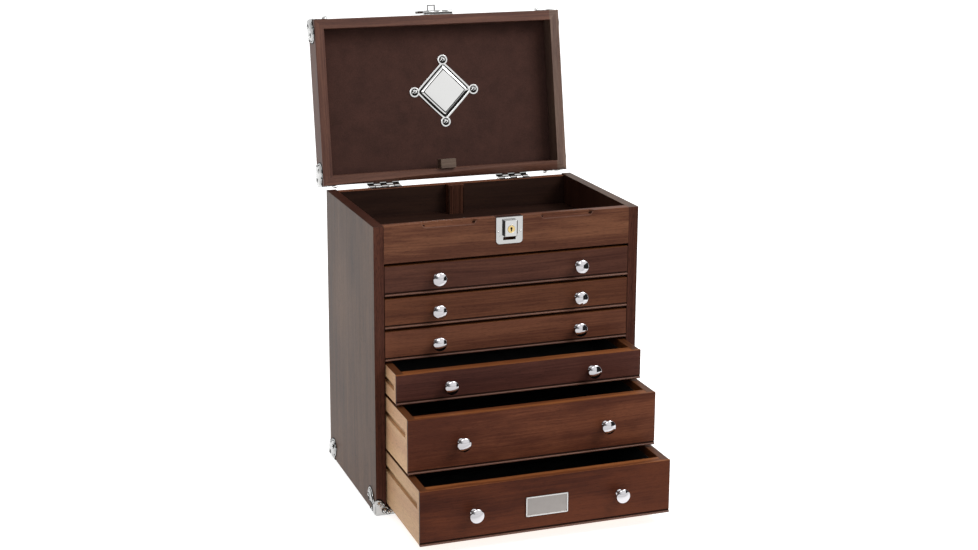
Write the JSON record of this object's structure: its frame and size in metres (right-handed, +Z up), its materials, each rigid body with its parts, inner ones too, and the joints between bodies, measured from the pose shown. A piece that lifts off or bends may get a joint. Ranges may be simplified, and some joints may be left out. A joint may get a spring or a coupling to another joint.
{
  "type": "collectors drawer chest",
  "caption": "Wooden collector's chest with metal corners: a till under a hinged lid with hasp and key lock, above stacked lined drawers that a rod locks when the lid is shut.",
  "frame": {"origin": "middle of the chest's underside", "axes": "+X to the right seen from the front, +Y to the back, +Z up"},
  "size_m": [0.3228, 0.424, 0.5511],
  "materials": {
    "walnut_stain": "satin varnish over a dark walnut stain",
    "oak_brown": "greyer brown stain with upright grain, satin",
    "rod_wood": "stained hardwood",
    "maple": "clear lacquered pale hardwood",
    "birch_ply": "thin ply",
    "black_felt": "matt felt",
    "brown_felt": "matt felt",
    "nickel": "bright nickel plate on pressed steel",
    "nickel_knobs": "polished, turned",
    "steel": "plain steel",
    "key_brass": "bright brass"
  },
  "bodies": {
    "case": {"side_left": "oak_brown", "side_right": "oak_brown", "back_panel": "walnut_stain", "base_board": "walnut_stain", "till_floor": "walnut_stain", "front_panel": "walnut_stain", "drawer_runners": "maple", "rod_guides": "rod_wood", "rod_spring": "steel", "lock_plate": "nickel", "lock_case": "nickel", "hinge_case_leaves": "nickel", "hinge_pins": "steel", "base_corners": "nickel"},
    "lid": {"lid_rails": "walnut_stain", "lid_panel": "walnut_stain", "lid_lining": "brown_felt", "striker_block": "rod_wood", "diamond_plate": "nickel", "lid_corners": "nickel", "hinge_lid_leaves": "nickel", "hasp_base": "nickel", "hasp_pin": "steel"},
    "hasp": {"hasp_flap": "nickel"},
    "lock_rod": {"lock_rod": "rod_wood", "rod_hooks": "steel"},
    "key_plug": {"key_plug": "key_brass"},
    "lock_bolt": {"lock_bolt": "steel"},
    "drawer_1": {"drawer_1_front": "walnut_stain", "drawer_1_box": "maple", "drawer_1_bottom": "birch_ply", "drawer_1_lining": "black_felt", "drawer_1_knobs": "nickel_knobs"},
    "drawer_2": {"drawer_2_front": "walnut_stain", "drawer_2_box": "maple", "drawer_2_bottom": "birch_ply", "drawer_2_lining": "black_felt", "drawer_2_knobs": "nickel_knobs"},
    "drawer_3": {"drawer_3_front": "walnut_stain", "drawer_3_box": "maple", "drawer_3_bottom": "birch_ply", "drawer_3_lining": "black_felt", "drawer_3_knobs": "nickel_knobs"},
    "drawer_4": {"drawer_4_front": "walnut_stain", "drawer_4_box": "maple", "drawer_4_bottom": "birch_ply", "drawer_4_lining": "black_felt", "drawer_4_knobs": "nickel_knobs"},
    "drawer_5": {"drawer_5_front": "walnut_stain", "drawer_5_box": "maple", "drawer_5_bottom": "birch_ply", "drawer_5_lining": "black_felt", "drawer_5_knobs": "nickel_knobs"},
    "drawer_6": {"drawer_6_front": "walnut_stain", "drawer_6_box": "maple", "drawer_6_bottom": "birch_ply", "drawer_6_lining": "black_felt", "drawer_6_knobs": "nickel_knobs", "nameplate": "nickel"}
  },
  "joints": [
    {"name": "lid_hinge", "type": "hinge", "parent": "case", "child": "lid", "pos_m": [0, 0.108, 0.3365], "axis": [1, 0, 0], "range_deg": [0, 100]},
    {"name": "drawer_1_slide", "type": "slide", "parent": "case", "child": "drawer_1", "axis": [0, -1, 0], "range_m": [0, 0.14]},
    {"name": "drawer_2_slide", "type": "slide", "parent": "case", "child": "drawer_2", "axis": [0, -1, 0], "range_m": [0, 0.14]},
    {"name": "drawer_3_slide", "type": "slide", "parent": "case", "child": "drawer_3", "axis": [0, -1, 0], "range_m": [0, 0.14]},
    {"name": "drawer_4_slide", "type": "slide", "parent": "case", "child": "drawer_4", "axis": [0, -1, 0], "range_m": [-0.0415, 0.0985]},
    {"name": "drawer_5_slide", "type": "slide", "parent": "case", "child": "drawer_5", "axis": [0, -1, 0], "range_m": [-0.083, 0.057]},
    {"name": "drawer_6_slide", "type": "slide", "parent": "case", "child": "drawer_6", "axis": [0, -1, 0], "range_m": [-0.1245, 0.0155]},
    {"name": "hasp_hinge", "type": "hinge", "parent": "lid", "child": "hasp", "pos_m": [0, 0.15198, 0.54503], "axis": [1, 0, 0], "range_deg": [0, 174]},
    {"name": "rod_slide", "type": "slide", "parent": "case", "child": "lock_rod", "axis": [0, 0, -1], "range_m": [0, 0.0045], "deforming": ["rod_spring"]},
    {"name": "key_turn", "type": "hinge", "parent": "case", "child": "key_plug", "pos_m": [0, -0.1015, 0.327], "axis": [0, 1, 0], "range_deg": [0, 90]},
    {"name": "bolt_slide", "type": "slide", "parent": "case", "child": "lock_bolt", "axis": [0, 0, -1], "range_m": [0, 0.0049]}
  ],
  "couplings": [
    {"joint": "rod_slide", "follows": "lid_hinge", "m_per_rad": 0.002521},
    {"joint": "key_turn", "follows": "bolt_slide", "rad_per_m": 317.35}
  ]
}
